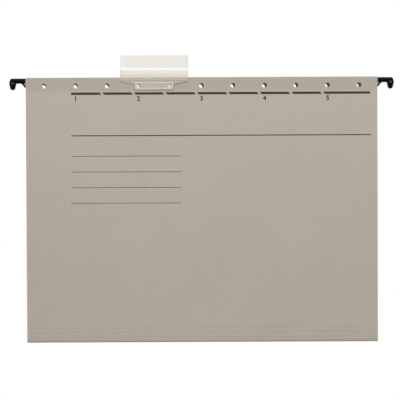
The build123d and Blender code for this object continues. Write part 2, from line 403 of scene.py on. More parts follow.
out, height, heading = along_sheet(flat_length)
lie = relief(flat_x, np.maximum(height, board / 2 + CORNER_RADIUS))
lie *= eased((flat_length - corner_start) / (corner_end - corner_start)) * (flat_length < hem_start)
to_hole = [
    np.min(np.hypot(flat_x[:, None] - hole_x, (flat_length - s)[:, None]), axis=1) - hole_radius
    for s in hole_lengths
]
to_cut = np.min([half_width - abs(flat_x), length_knots[-1] - flat_length, *to_hole], axis=0)
cut_fibre_and_edge_shade = CUT_SHARE * np.exp(-np.clip(to_cut, 0, None) / CUT_REACH)
# Painted shade in a band over the rail, and a bell-shaped line of painted shade at the bottom fold.
rail_shade_mask = eased((height - rail_low[2] + BAND_BLUR) / (2 * BAND_BLUR))
rail_shade_mask *= (flat_length > corner_end) & (flat_length < hem_end)
to_fold = flat_length - (corner_start + corner_end) / 2
painted_shade = RAIL_BAND_SHADE * rail_shade_mask + FOLD_SHADE * np.exp(-((to_fold / FOLD_SHADE_HALF) ** 2))
print("relief in mm", lie.min().round(3), "to", lie.max().round(3))

# %% [markdown]
# The grid is given its two faces and its cut edges, the board's thickness apart. A flap is punched before it
# is folded and never meets its panel exactly: the holes of the rear flap sit a millimetre low and one or two
# to the left, so a dark crescent of board shows in each front hole.

# %% Two halves
SLIP_DOWN, SLIP_LEFT, SLIP_GROWTH = 1.3, 1.65, 0.6
# The third coordinate of the pattern keeps the two faces and the two halves apart.
FACES_APART, HALVES_APART = 40.0, 100.0
at_flap_rim = np.clip(1 - to_hole[1] / (CELL - hole_radius), 0, 1)


def two_sided(faces, count):
    """Faces of a thin sheet: the front, the back with its points numbered on from count and turned round, and
    a strip along every edge that only one face of the front has."""
    edges = np.concatenate([faces[:, [i, (i + 1) % 4]] for i in range(4)])
    edges = edges[edges[:, 0] != edges[:, 1]]
    single = edges[~np.isin(edges[:, 0] * count + edges[:, 1], edges[:, 1] * count + edges[:, 0])]
    return np.concatenate([faces, faces[:, ::-1] + count, np.hstack([single[:, ::-1], single + count])])


def store(piece, name, values):
    """Keep a number, or a row of three, at every point of a piece for its finish to read."""
    kind, field = ("FLOAT_VECTOR", "vector") if values.ndim > 1 else ("FLOAT", "value")
    stored = piece.data.attributes.new(name, kind, "POINT")
    stored.data.foreach_set(field, values.astype(np.float32).ravel())


def half_sheet(name, side):
    """One half of the folded sheet, on the front (side -1) or the rear (side 1). A point of a face is the
    path's point moved along the outward normal by the relief and by half the board's thickness. The rims of
    the holes in the rear flap are moved by the punch's slip, which grows evenly from left to right."""
    normal_out, normal_up = np.sin(heading), -np.cos(heading)
    slipped = at_flap_rim * (side > 0)
    slip_left = slipped * (SLIP_LEFT + SLIP_GROWTH * flat_x / half_width)
    layers, sheet = [], []
    for face in (1, -1):
        shift = lie + face * board / 2
        z = height + normal_up * shift
        y = side * (out + normal_out * shift)
        layers.append(np.stack([flat_x - slip_left, y, z - SLIP_DOWN * slipped], 1))
        apart = np.full(count, FACES_APART * face + HALVES_APART * side)
        sheet.append(np.stack([flat_x, flat_length, apart], 1))
    skin = two_sided(faces, count)
    skin = skin if side < 0 else skin[:, ::-1]
    made = new_piece(name, np.concatenate(layers) * MM, skin, board_finish)
    store(made, "sheet_mm", np.concatenate(sheet))
    store(made, "cut_edge", np.tile(cut_fibre_and_edge_shade, 2))
    # Only the outer face gets the painted shade over the rail and at the bottom fold.
    store(made, "painted_shade", np.append(painted_shade, 0 * painted_shade))
    return made


front_board = half_sheet("front_board", -1)
rear_board = half_sheet("rear_board", 1)
print("front board triangles", sum(len(p.vertices) - 2 for p in front_board.data.polygons))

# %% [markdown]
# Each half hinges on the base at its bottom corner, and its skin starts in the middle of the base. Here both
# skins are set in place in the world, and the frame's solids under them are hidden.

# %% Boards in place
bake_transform(front_board)
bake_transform(rear_board)
parts_of_half = ("panel", "hem_bend", "hem_flap", "strip_upper", "strip_middle", "strip_lower")
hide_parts(*[f"front_{n}" for n in parts_of_half], "base_strip")
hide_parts(*[f"rear_{n}" for n in parts_of_half])
print("solids under each board", len(parts_of_half) + 1, len(parts_of_half))

# %% [markdown]
# ## Finishes with one grain
#
# The other finishes each have one grain, and its size comes from how the surface was made. One function reads
# a noise of that size at the piece's own place and lets colour, gloss or height follow it.

# %% Grained finishes
def grained(name, settings, grain_mm, detail, between, bump=None, stretch=(1.0, 1.0, 1.0)):
    """A material with one noise on Object coordinates, whose grain has a size in mm. As the noise runs from 0
    to 1, each socket in between runs evenly from its first value to its second, two hex colours or two
    numbers. A bump has a strength and a depth in mm. The tree, the shader and the noise come back too."""
    made, tree, shader = new_material(name, settings)
    place = add(tree, "ShaderNodeTexCoord", {}).outputs["Object"]
    place = add(tree, "ShaderNodeVectorMath", {"operation": "MULTIPLY", 0: place, 1: stretch}).outputs[0]
    scale = 1 / (grain_mm * MM)
    noise = add(tree, "ShaderNodeTexNoise", {"Vector": place, "Scale": scale, "Detail": detail}).outputs[0]
    for socket, (low, high) in between.items():
        if isinstance(low, str):
            shades = {"data_type": "RGBA", 0: noise, 6: linear(low), 7: linear(high)}
            value = add(tree, "ShaderNodeMix", shades).outputs[2]
        else:
            value = add(tree, "ShaderNodeMapRange", {0: noise, "To Min": low, "To Max": high}).outputs[0]
        tree.links.new(value, shader.inputs[socket])
    if bump:
        strength, depth = bump
        waves = {"Height": noise, "Strength": strength, "Distance": depth * MM}
        tree.links.new(add(tree, "ShaderNodeBump", waves).outputs[0], shader.inputs["Normal"])
    return made, tree, shader, noise


print("grained finishes ready")

# %% [markdown]
# ## Printed marks
#
# The front carries a printed index: a thick broken line under the holes with the numbers 1 to 5, one long
# ruled line and four short ones for writing on. It is offset ink, a film of a few thousandths of a
# millimetre that sinks into the board, so it is dull and takes the tooth of the board. Here each mark is a
# thin patch that follows the same relief as the panel, and it stands just clear of it.

# %% Ink
# Ink dried into uncoated board: nearly black, a little brown, no gloss, and thin where fibres stand up.
ink_finish, tree, shader, speck = grained(
    "offset ink on board, dark brown", {"Specular IOR Level": 0.2, "Roughness": 0.8}, 0.5, 3.0, {}
)
thin = add(tree, "ShaderNodeMapRange", {0: speck, **dict(zip(SPAN, (0.6, 0.8, 0.0, 0.35)))}).outputs[0]
shades = {6: linear("#3d3327"), 7: linear("#6d6354")}
ink = add(tree, "ShaderNodeMix", {"data_type": "RGBA", 0: thin, **shades})
tree.links.new(ink.outputs[2], shader.inputs["Base Color"])
INK_LIFT = 0.02
folder_top = hem_high[2]


def on_front(x, drop):
    """Points just clear of the front panel's outer face, in metres: x and the drop below the top edge are in
    mm, and the distance out is the flat face's, the relief there and the ink's lift added up."""
    height = folder_top - drop
    out = panel_middle + board / 2 + relief(x, height) + INK_LIFT
    return np.stack(np.broadcast_arrays(x, -out, height), axis=-1) * MM


def joined(forms):
    """Several forms, each some points and faces, as one: the faces' numbers go on from form to form."""
    starts = np.cumsum([0, *(len(points) for points, _ in forms)])
    numbered = [[start + i for i in f] for start, (_, part) in zip(starts, forms) for f in part]
    return np.concatenate([points for points, _ in forms]), numbered


print(ink_finish.name, len(tree.nodes), "nodes")

# %% [markdown]
# The broken line has a gap before each hole from the third to the tenth, and its ends lean there. A bar is
# therefore a small grid between two ends that may lean, and the ruled lines are bars with upright ends.

# %% Ruled lines
BAR_STEP = 3.0


def ruled(name, bars):
    """Printed bars, each given as (left, right, top drop, bottom drop, left slant, right slant) in mm. A bar
    is a grid whose ends lean: x runs between the two ends, and each end moves by its slant down the bar."""
    forms = []
    for left, right, top, bottom, slant_left, slant_right in bars:
        across = np.linspace(0, 1, max(3, int((right - left) / BAR_STEP) + 2))[None, :]
        down = np.linspace(0, 1, 3)[:, None]
        x = (left + slant_left * down) * (1 - across) + (right + slant_right * down) * across
        index = np.arange(x.size).reshape(x.shape)
        points = on_front(x, top + (bottom - top) * down).reshape(-1, 3)
        forms.append((points, squares(index[::-1]).reshape(-1, 4)))
    made = new_piece(name, *joined(forms), ink_finish)
    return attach(made, "front_half")


MARK_LEFT, MARK_RIGHT, SHORT_RIGHT = -118.0, 153.0, -19.0
INDEX_TOP, INDEX_BOTTOM, INDEX_RIGHT = 13.48, 15.6, 152.0
GAP, GAP_TO_HOLE, SLANT, END_SLANT = 2.6, 4.7, 1.8, 0.7
gap_middles = hole_x[2 : HOLE_COUNT - 1] - GAP_TO_HOLE - SLANT / 2
starts = np.concatenate([[MARK_LEFT], gap_middles + GAP / 2])
ends = np.concatenate([gap_middles - GAP / 2, [INDEX_RIGHT]])
left_slants = [0.0] + [SLANT] * len(gap_middles)
right_slants = [SLANT] * len(gap_middles) + [END_SLANT]
index_bars = [
    (left, right, INDEX_TOP, INDEX_BOTTOM, left_slant, right_slant)
    for left, right, left_slant, right_slant in zip(starts, ends, left_slants, right_slants)
]
ruled("index_line", index_bars)
LONG_DROP, LONG_WEIGHT = 52.15, 0.88
SHORT_DROPS, SHORT_WEIGHT = (70.9, 85.15, 99.3, 113.4), 0.46
rules = [(MARK_LEFT, MARK_RIGHT, LONG_DROP, LONG_DROP + LONG_WEIGHT, 0, 0)]
rules += [(MARK_LEFT, SHORT_RIGHT, d, d + SHORT_WEIGHT, 0, 0) for d in SHORT_DROPS]
ruled("ruled_lines", rules)
print("index bars", len(index_bars), "rules", len(rules))

# %% [markdown]
# The numbers are set in a plain sans face. The outline font that comes with the program is turned into a flat
# mesh, scaled to the printed height and laid on the panel point by point.

# %% Numbers
DIGIT_HEIGHT, DIGIT_DROP, DIGIT_STEP, DIGIT_WEIGHT = 4.3, 16.9, 2, 0.035


def finished_form(holder):
    """The points and faces of an object as it is shown, after its modifiers. The object is then removed."""
    bpy.context.view_layer.update()
    shown = holder.evaluated_get(bpy.context.evaluated_depsgraph_get())
    mesh = shown.to_mesh()
    points = np.empty(len(mesh.vertices) * 3, np.float32)
    mesh.vertices.foreach_get("co", points)
    faces = [list(p.vertices) for p in mesh.polygons]
    shown.to_mesh_clear()
    bpy.data.objects.remove(holder)
    return points.reshape(-1, 3), faces


digits = []
for number, middle in enumerate(hole_x[1 : HOLE_COUNT - 1 : DIGIT_STEP], 1):
    text = bpy.data.curves.new("digit", "FONT")
    text.body = str(number)
    text.resolution_u = 6
    text.offset = DIGIT_WEIGHT
    holder = bpy.data.objects.new("digit", text)
    bpy.context.scene.collection.objects.link(holder)
    flat, digit_faces = finished_form(holder)
    bpy.data.curves.remove(text)
    low, high = flat.min(0), flat.max(0)
    size = DIGIT_HEIGHT / (high[1] - low[1])
    x = middle + (flat[:, 0] - (low[0] + high[0]) / 2) * size
    digits.append((on_front(x, DIGIT_DROP + (high[1] - flat[:, 1]) * size), digit_faces))
index_digits = new_piece("index_digits", *joined(digits), ink_finish)
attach(index_digits, "front_half")
print("digit faces", len(index_digits.data.polygons))

# %% [markdown]
# ## Steel rails and the glue line
#
# The rails are punched from zinc-plated strip. They are hidden in the hems but for the round windows of the
# punched holes and the tapered shoulders beside the hooks. The flap is held by a film of hot-melt adhesive.
# Both keep the frame's own solids, because nothing of them is softer than the solid says.

# %% Rails and glue
# Zinc plate on rolled strip: a cool grey mirror made dull by the rolls, with faint streaks along the strip.
STREAK = (0.04, 1.0, 1.0)
steel_finish = grained(
    "zinc-plated rolled steel",
    {"Metallic": 1.0, "Base Color": linear("#747573")},
    grain_mm=0.6,
    detail=3.0,
    between={"Roughness": (0.36, 0.56)},
    stretch=STREAK,
)[0]
# Hot-melt pressed flat between two boards: amber and waxy, in blotches where it was spread thick or thin.
glue_finish = grained(
    "hot-melt adhesive, pressed film",
    {"Specular IOR Level": 0.4},
    grain_mm=3.0,
    detail=2.0,
    between={"Base Color": ("#cbb98f", "#dccda9"), "Roughness": (0.35, 0.55)},
)[0]
for side in ("front", "rear"):
    for name, finish, slot in (("rail", steel_finish, "rail_steel"), ("hem_glue", glue_finish, "glue")):
        piece = nodes[f"{side}_{name}"]
        piece.data.materials.clear()
        piece.data.materials.append(finish)
print("rails and glue finished")

# %% [markdown]
# ## Moulded hooks
#
# A black sheath is moulded over each rail end so that it slides on the frame without noise. It has three
# forms that run into each other: a swollen tip, a straight arm, and a thin lip that braces the arm against
# the board and leaves a small window on the steel. Each form is a closed surface of two parameters.

# %% Tip of a hook
hook_low, hook_high = (np.array(c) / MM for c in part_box("front_right_hook"))
arm_top = hook_high[2]
tip_thick = (hook_high[1] - hook_low[1]) / 2
ARM_THICK = tip_thick - 0.5
TIP_CIRCLES = np.array([(2.6, 1.9, 1.9), (3.0, 4.4, 3.0), (3.0, 8.3, 2.1)])
EDGE, SWELL_DROP, SWELL_RUN = 1.85, 3.3, 1.9
INNERMOST = 0.02


def closed_grid(x, y, z):
    """Points and faces of a grid that closes on itself in its second direction, with a cap at each end."""
    points = np.stack(np.broadcast_arrays(x, y, z), axis=-1)
    index = np.arange(points[..., 0].size).reshape(points.shape[:2])
    quads = squares(index, closed=True).reshape(-1, 4)
    return points.reshape(-1, 3), [*quads.tolist(), index[0, ::-1].tolist(), index[-1].tolist()]


def tip_form():
    """The swollen tip. Its outline is the line drawn tight round three circles: at each facing angle it lies
    on the circle that reaches farthest that way, and it is then divided evenly. From the outline the surface
    climbs as a quarter ellipse, which moves every point straight in, and the face is closed by rings that
    shrink to the circles' centres. At the arm's lower edge the thickness swells along a straight slope."""
    turn = np.linspace(0, 2 * np.pi, 181)
    facing = np.stack([np.cos(turn), np.sin(turn)], 1)
    centres = np.stack([hook_high[0] - TIP_CIRCLES[:, 0], arm_top - TIP_CIRCLES[:, 1]], 1)
    farthest = np.argmax(facing @ centres.T + TIP_CIRCLES[:, 2], axis=1)
    outline = centres[farthest] + TIP_CIRCLES[farthest, 2:] * facing
    walk = np.concatenate([[0], np.cumsum(np.linalg.norm(np.diff(outline, axis=0), axis=1))])
    even = np.linspace(0, walk[-1], 241)[:-1]
    middle_x, middle_z, radius, turn = (
        np.interp(even, walk, v) for v in (*centres[farthest].T, TIP_CIRCLES[farthest, 2], turn)
    )
    ring = np.linspace(-2, 2, 81)[:, None]
    climb = np.clip(ring, -1, 1) * np.pi / 2
    reach = (radius - EDGE * (1 - np.cos(climb))) * np.minimum(2 + INNERMOST - abs(ring), 1)
    x, z = middle_x + reach * np.cos(turn), middle_z + reach * np.sin(turn)
    swell = np.clip((arm_top - z - SWELL_DROP) / SWELL_RUN, 0, 1)
    thick = ARM_THICK + (tip_thick - ARM_THICK) * swell
    return closed_grid(x, thick * np.sin(climb), z)


forms = [tip_form()]
print("tip points", len(forms[0][0]))

# %% [markdown]
# The arm and the lip are bars with rounded edges, carried along a path: the arm's is straight, and the lip's
# is a curve down to the board.

# %% Arm and lip
seat_height = mounts["front_right_seat"]["pos_m"][2] / MM
arm_half = (arm_top - seat_height) / 2
LIP_PATH = np.array([(4.9, 1.1), (3.3, 0.1), (1.7, -1.2), (0.45, -3.55)])
LIP_HALF, PATH_POINTS = 0.7, 30


def swept_form(path, half_high, half_thick, edge):
    """A bar carried along a path of (x, z) points. Its section has straight sides between two half ellipses,
    which are as high as the edge, and its upright axis follows the path's normal."""
    slope = np.gradient(path, axis=0)
    slope /= np.linalg.norm(slope, axis=1, keepdims=True)
    normal = np.stack([-slope[:, 1], slope[:, 0]], 1)
    turn = np.linspace(0, 2 * np.pi, 49)[:-1]
    high = (half_high - edge) * np.sign(np.sin(turn)) + edge * np.sin(turn)
    x = path[:, :1] + normal[:, :1] * high
    z = path[:, 1:] + normal[:, 1:] * high
    return closed_grid(x, half_thick * np.cos(turn), z)


def smooth_path(corners, count):
    """A curve through no corner but the ends: the cubic whose control points are the corners."""
    t = np.linspace(0, 1, count)[:, None]
    weights = [(1 - t) ** 3, 3 * t * (1 - t) ** 2, 3 * t**2 * (1 - t), t**3]
    return sum(w * c for w, c in zip(weights, corners))


arm_x = np.linspace(hook_low[0], hook_high[0] - TIP_CIRCLES[1, 0], PATH_POINTS)
arm_path = np.stack([arm_x, np.full(PATH_POINTS, arm_top - arm_half)], 1)
lip_path = smooth_path(LIP_PATH + [half_width, seat_height], PATH_POINTS)
forms.append(swept_form(arm_path, arm_half, ARM_THICK, EDGE))
forms.append(swept_form(lip_path, LIP_HALF, ARM_THICK, LIP_HALF))
print("forms of a hook", len(forms))

# %% [markdown]
# The three forms are fused and relaxed, the way a mould leaves one skin with soft inner corners. That skin is
# set at each of the four rail ends, and turned over for the left-hand ones.

# %% Hooks
# Nylon against a fine spark-eroded mould: black, with a broad soft highlight broken up by the grain.
nylon_finish = grained(
    "moulded nylon, fine spark grain",
    {"Base Color": linear("#030303"), "Specular IOR Level": 0.05},
    grain_mm=0.22,
    detail=2.0,
    between={"Roughness": (0.19, 0.27)},
    bump=(0.2, 0.01),
)[0]
VOXEL, SHARP_DEG = 0.11, 70.0
hook_points, hook_faces = joined(forms)
raw = new_piece("hook_forms", hook_points * MM, hook_faces, nylon_finish)
fuse = raw.modifiers.new("fuse", "REMESH")
fuse.mode, fuse.voxel_size = "VOXEL", VOXEL * MM
relax = raw.modifiers.new("relax", "SMOOTH")
relax.factor, relax.iterations = 0.5, 6
skin, skin_faces = finished_form(raw)
for side in ("front", "rear"):
    for place, hand in (("left", -1), ("right", 1)):
        node = f"{side}_{place}_hook"
        low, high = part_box(node)
        points = skin * (hand, 1, 1) + (0, (low[1] + high[1]) / 2, 0)
        turned = skin_faces if hand > 0 else [f[::-1] for f in skin_faces]
        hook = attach(new_piece(f"{node}_skin", points, turned, nylon_finish, SHARP_DEG), f"{side}_half")
        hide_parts(node)
print("hook skin points", len(skin))

# %% [markdown]
# ## The path of the clear film
#
# The tab is one strip of clear PVC film. Its foot lies on the board, a neck rises over the top edge, and a
# sleeve leans back from there, turns over at the top and comes down in front to a round bead. That is a bent
# line again, so the function that made the path of the board makes this one too.

# %% Path of the film
tab_low, tab_high = (np.array(c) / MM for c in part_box("tab_holder"))
tab_middle, tab_half = (tab_low[0] + tab_high[0]) / 2, (tab_high[0] - tab_low[0]) / 2
WALL, FILM_PLAY = 0.6, 0.05
NECK_RISE, BEND_RADIUS, TILT = 6.6, 1.5, math.radians(14.0)
SLEEVE_DEPTH, TURN_RADIUS = 1.2, 0.588
BEAD_RISE, BEAD_OUT, BEAD_RADIUS = 0.7, 1.5, 1.1
TONGUE_DROP = 11.7
foot_out = -panel_low[1] + FILM_PLAY + WALL / 2
bend_height = folder_top + NECK_RISE
bend_cut = BEND_RADIUS * math.tan(TILT / 2)
turn_rise = tab_high[2] - WALL / 2 - SLEEVE_DEPTH / 2 * (1 + math.sin(TILT)) - bend_height
sleeve_length = turn_rise / math.cos(TILT) + SLEEVE_DEPTH / 2
film_stretches = [
    TONGUE_DROP + NECK_RISE - bend_cut,
    BEND_RADIUS * TILT,
    sleeve_length - bend_cut - TURN_RADIUS,
    TURN_RADIUS * math.pi / 2,
    SLEEVE_DEPTH - 2 * TURN_RADIUS,
    TURN_RADIUS * math.pi / 2,
    sleeve_length - TURN_RADIUS - BEAD_RISE,
]
lean = 90 + math.degrees(TILT)
film_headings = [90, 90, lean, lean, lean - 90, lean - 90, lean - 180, lean - 180]
film_knots, along_film = bent_line(foot_out, folder_top - TONGUE_DROP, film_stretches, film_headings)
print("film length in mm", round(film_knots[-1], 2))

# %% [markdown]
# ## The flat pattern of the film
#
# Laid out flat, the strip has its full width from the sleeve down to the foot, then slants in to a tongue
# with round corners. The foot carries a pressed line and a raised pad that stiffens it round the pegs.
# Everything here is a function of the place on the flat pattern: how far the front face stands out, and how
# near a point is to the knife's cut.

# %% Pattern of the film
FOOT_DROP, SLANT_DROP, TONGUE_HALF, TONGUE_ROUND = 4.3, 6.5, 18.0, 1.6
PAD_TOP, PAD_BOTTOM, PAD_HALF, PAD_ROUND, PAD_SLOPE, PAD_LIFT = 4.3, 10.6, 17.2, 0.8, 0.45, 0.5
LINE_DROP, LINE_HALF, LINE_DEPTH, LINE_CLEAR = 3.2, 0.4, 0.25, 0.7
EDGE_ROUND = 0.4
corner = np.linspace(0, np.pi / 2, 9)
outline = np.concatenate(
    [
        [(tab_half, TONGUE_DROP - film_knots[-1]), (tab_half, FOOT_DROP), (TONGUE_HALF, SLANT_DROP)],
        [TONGUE_HALF, TONGUE_DROP] + TONGUE_ROUND * np.stack([np.cos(corner) - 1, np.sin(corner) - 1], 1),
        [(0.0, TONGUE_DROP)],
    ]
)


def half_at(drop):
    """Half of the strip's width at a drop below the board's top edge, read along the outline."""
    return np.interp(drop, outline[:-1, 1], outline[:-1, 0])


def to_outline(x, drop):
    """Distance to the cut: the point is projected on each straight piece of the outline, the projection is
    held between the ends of the piece, and the nearest one counts."""
    ends, run = outline[:-1], np.diff(outline, axis=0)
    away = np.stack([abs(x), drop], -1)[..., None, :] - ends
    share = np.clip((away * run).sum(-1) / (run**2).sum(-1), 0, 1)
    return np.linalg.norm(away - share[..., None] * run, axis=-1).min(-1)


def to_pad(x, drop):
    """Signed distance to the pad's foot line, a rectangle with round corners, less than zero on the pad."""
    over_x = abs(x) - PAD_HALF + PAD_ROUND
    over_drop = abs(drop - (PAD_TOP + PAD_BOTTOM) / 2) - (PAD_BOTTOM - PAD_TOP) / 2 + PAD_ROUND
    outside = np.hypot(np.maximum(over_x, 0), np.maximum(over_drop, 0))
    return outside + np.minimum(np.maximum(over_x, over_drop), 0) - PAD_ROUND


def film_relief(x, drop):
    """How far the front face stands out, in mm: the pad's lift over a smooth slope, less the deeper of two
    cuts, the wedge of the pressed line and a rounding that grows as a parabola towards the foot's edge."""
    lift = PAD_LIFT * eased(-to_pad(x, drop) / PAD_SLOPE)
    wedge = LINE_DEPTH * np.clip(1 - abs(drop - LINE_DROP) / LINE_HALF, 0, 1)
    near = np.clip(1 - to_outline(x, drop) / EDGE_ROUND, 0, 1) * (drop > 0)
    return lift - np.maximum(wedge, EDGE_ROUND * near**2)


print("outline corners", len(outline))

# %% [markdown]
# The grid of the film has its lines where those functions change quickly: at the cut, the rim of the pad, the
# pressed line and the bends.

# %% Lines of the film
edge_lines = np.array([0.0, 0.1, 0.2, 0.3, 0.45, 0.6])
rim_lines = np.linspace(0, PAD_SLOPE, 5)
film_x = tidy(
    np.linspace(0, PAD_HALF - PAD_ROUND, 12),
    PAD_HALF - np.append(rim_lines, edge_lines[-1]),
    TONGUE_HALF - edge_lines,
    np.linspace(TONGUE_HALF, tab_half - edge_lines[-1], 16),
    tab_half - edge_lines,
)
film_x = np.concatenate([-film_x[:0:-1], film_x])
film_drop = tidy(
    TONGUE_DROP - edge_lines,
    PAD_BOTTOM - rim_lines,
    PAD_TOP + rim_lines,
    np.linspace(SLANT_DROP, PAD_BOTTOM - edge_lines[-1], 6),
    np.linspace(FOOT_DROP, SLANT_DROP, 17),
    LINE_DROP + LINE_HALF * np.linspace(-1.5, 1.5, 13),
    np.linspace(0, LINE_DROP - LINE_CLEAR, 5),
    np.linspace(0, TONGUE_DROP - film_knots[1], 12),
    TONGUE_DROP - np.linspace(film_knots[1], film_knots[2], 5),
    TONGUE_DROP - np.linspace(film_knots[2], film_knots[3], 16),
    TONGUE_DROP - np.linspace(film_knots[3], film_knots[6], 19),
    TONGUE_DROP - np.linspace(film_knots[6], film_knots[7], 16),
)[::-1]
print("film grid", len(film_drop), "x", len(film_x))

# %% [markdown]
# ## The film's skin
#
# The flat pattern is bent along the path, and its two faces stand half a wall off it on either side. The
# columns of the grid that lie outside the tongue run together where the slant meets it, so equal points are
# merged, and the faces that shrink to nothing below it are dropped.

# %% Skin of the film
SQUEEZED, TINY = 3.0, 1e-6
flat_drop, wide_x = (g.ravel() for g in np.meshgrid(film_drop, film_x, indexing="ij"))
half_here, reach_x = half_at(flat_drop), abs(wide_x)
tongue_here = np.minimum(half_here, TONGUE_HALF)
squeeze_from = TONGUE_HALF - SQUEEZED
film_at_x = np.minimum(reach_x, squeeze_from)
film_at_x += np.clip(reach_x - squeeze_from, 0, SQUEEZED) * (tongue_here - squeeze_from) / SQUEEZED
film_at_x += np.clip(reach_x - TONGUE_HALF, 0, None) * (half_here - tongue_here) / (tab_half - TONGUE_HALF)
pattern = np.round(np.stack([np.sign(wide_x) * film_at_x, flat_drop], 1), 5)
pattern, merged = np.unique(pattern, axis=0, return_inverse=True)
film_faces = squares(merged.reshape(len(film_drop), len(film_x)))
outside = np.minimum(abs(film_x[:-1]), abs(film_x[1:])) > TONGUE_HALF - TINY
film_faces = film_faces[~((film_drop[:-1, None] > SLANT_DROP + TINY) & outside)]
used, film_faces = np.unique(film_faces, return_inverse=True)
film_faces = film_faces.reshape(-1, 4)
film_px, film_pd = pattern[used].T
out, height, heading = along_film(TONGUE_DROP - film_pd)
film_layers = [
    np.stack(
        [tab_middle + film_px, -(out + np.sin(heading) * stand), height - np.cos(heading) * stand], 1
    )
    for stand in (WALL / 2 + film_relief(film_px, film_pd), np.full(len(film_px), -WALL / 2))
]
print("film points", len(film_px))

# %% [markdown]
# ## The film's haze and painted light
#
# Clear film is drawn by how much light each face stops. The sleeve is nearly clear, and the neck grows
# hazier and darker beige towards the board. The foot takes a near-white tint as painted light, which makes
# up for the shadow that the film casts on the board under it. The haze and its tint are worked out here for
# every point and stored in the mesh, so that the finish only has to read them.

# %% Haze of the film
# The foot's near-white tint is painted light.
SLEEVE_TINT, NECK_TINT, FOOT_LIGHT_TINT = "#cdc3b7", "#d0bfa8", "#f3ebe1"
SLEEVE_HAZE, WELD_HAZE, FOOT_HAZE = 0.12, 0.01, 0.17
# Haze of one face down the strip: (drop, haze) at the weld in front, the sleeve, the weld behind the bead,
# the neck and the foot.
front_end = TONGUE_DROP - film_knots[-1]
haze_steps = np.array(
    [
        (front_end + 1.2, WELD_HAZE),
        (front_end + 1.8, SLEEVE_HAZE),
        (-9.6, SLEEVE_HAZE),
        (-9.0, WELD_HAZE),
        (-6.8, WELD_HAZE),
        (-6.2, 0.25),
        (-3.0, 0.3),
        (-0.6, 0.46),
        (0.0, 0.4),
        (0.5, FOOT_HAZE),
    ]
)
# Drops between which the tint passes from the sleeve's to the neck's, and from the neck's to the foot's.
TINT_STEPS = ((NECK_TINT, -8.0, -7.0), (FOOT_LIGHT_TINT, -0.3, 0.3))


def toward(start, end, share):
    """A straight mix of two values, or of two rows of values, by a share for each point."""
    return start + (np.asarray(end) - start) * (share[:, None] if np.ndim(end) else share)


def colour(code):
    """The three linear channels of a hex colour as an array."""
    return np.array(linear(code)[:3])


film_haze_and_painted_light = np.interp(film_pd, *haze_steps.T)
film_tint_and_painted_light = np.tile(colour(SLEEVE_TINT), (len(film_px), 1))
for tint_there, start, full in TINT_STEPS:
    film_tint_and_painted_light = toward(film_tint_and_painted_light, colour(tint_there), np.clip((film_pd - start) / (full - start), 0, 1))
print("haze", film_haze_and_painted_light.min().round(3), "to", film_haze_and_painted_light.max().round(3))

# %% [markdown]
# Painted shade darkens the cut edges and the pressed line, and a painted highlight lightens the slopes of the
# pad. Each fades over a width. The slants and the tongue get the most painted shade, more so on the right.
# The neck's left edge gets less, and the other edges hardly any.

# %% Painted shade at the edges, painted highlight on the pad
# The painted shade on the cut edges and the pressed line is dark brown; the painted highlight on the pad's
# slopes is near white.
EDGE_SHADE_TINT, RIM_HIGHLIGHT_TINT, EDGE_SHADE_HAZE, RIM_HIGHLIGHT_HAZE = "#3f372d", "#fbf9f6", 0.8, 0.55
LEFT_FADE, RIGHT_FADE, EDGE_SHADE_FADE = 0.7, 1.0, 0.8
NECK_EDGE_SHADE, TONGUE_LEFT_SHADE, FAINT_EDGE_SHADE = 0.6, 0.3, 0.15
LINE_SHADE, LINE_SHADE_FADE = 0.5, 0.9
RIM_HIGHLIGHT, RIM_HIGHLIGHT_FADE = 0.7, 0.5
cut_near = np.clip(1 - to_outline(film_px, film_pd) / np.where(film_px < 0, LEFT_FADE, RIGHT_FADE), 0, 1)
at_left_neck = (film_px < 0) & (film_pd < 0) & (film_pd > -NECK_RISE)
beside_pad = (film_px < -PAD_HALF) & (film_pd > SLANT_DROP) & (film_pd < TONGUE_DROP - TONGUE_ROUND)
# The painted shade on the edges is faint at the top of the strip and full from the foot's drop down.
edge_shade_by_drop = np.interp(film_pd, [FOOT_DROP - EDGE_SHADE_FADE, FOOT_DROP], [FAINT_EDGE_SHADE, 1.0])
cut_fibre_and_edge_shade = cut_near * np.select([at_left_neck, beside_pad], [NECK_EDGE_SHADE, TONGUE_LEFT_SHADE], edge_shade_by_drop)
line_shade_share = LINE_SHADE * np.clip(1 - abs(film_pd - LINE_DROP) / LINE_SHADE_FADE, 0, 1)
rim_highlight_share = RIM_HIGHLIGHT * np.exp(-(((to_pad(film_px, film_pd) + PAD_SLOPE) / RIM_HIGHLIGHT_FADE) ** 2))
for share, haze_there, tint_there in (
    (np.maximum(cut_fibre_and_edge_shade, line_shade_share), EDGE_SHADE_HAZE, EDGE_SHADE_TINT),
    (rim_highlight_share * (1 - cut_fibre_and_edge_shade), RIM_HIGHLIGHT_HAZE, RIM_HIGHLIGHT_TINT),
):
    film_haze_and_painted_light = toward(film_haze_and_painted_light, haze_there, share)
    film_tint_and_painted_light = toward(film_tint_and_painted_light, colour(tint_there), share)
print("haze with the edges", film_haze_and_painted_light.min().round(3), "to", film_haze_and_painted_light.max().round(3))

# %% [markdown]
# ## Film, bead and pegs as pieces
#
# PVC film is pressed between polished rolls: clear, with a faint haze at each face, a soft gloss and a slight
# waviness. One finish serves the three pieces, because each carries its own haze and tint.

# %% Clear film
# Polished rolls leave a mirror that is a little wavy, so its highlights are soft and not quite straight.
pvc_finish, tree, shader, mottle = grained(
    "clear PVC film, pressed", {"IOR": 1.53}, 5.0, 2.0, {"Roughness": (0.1, 0.2)}, bump=(0.2, 0.05)
)
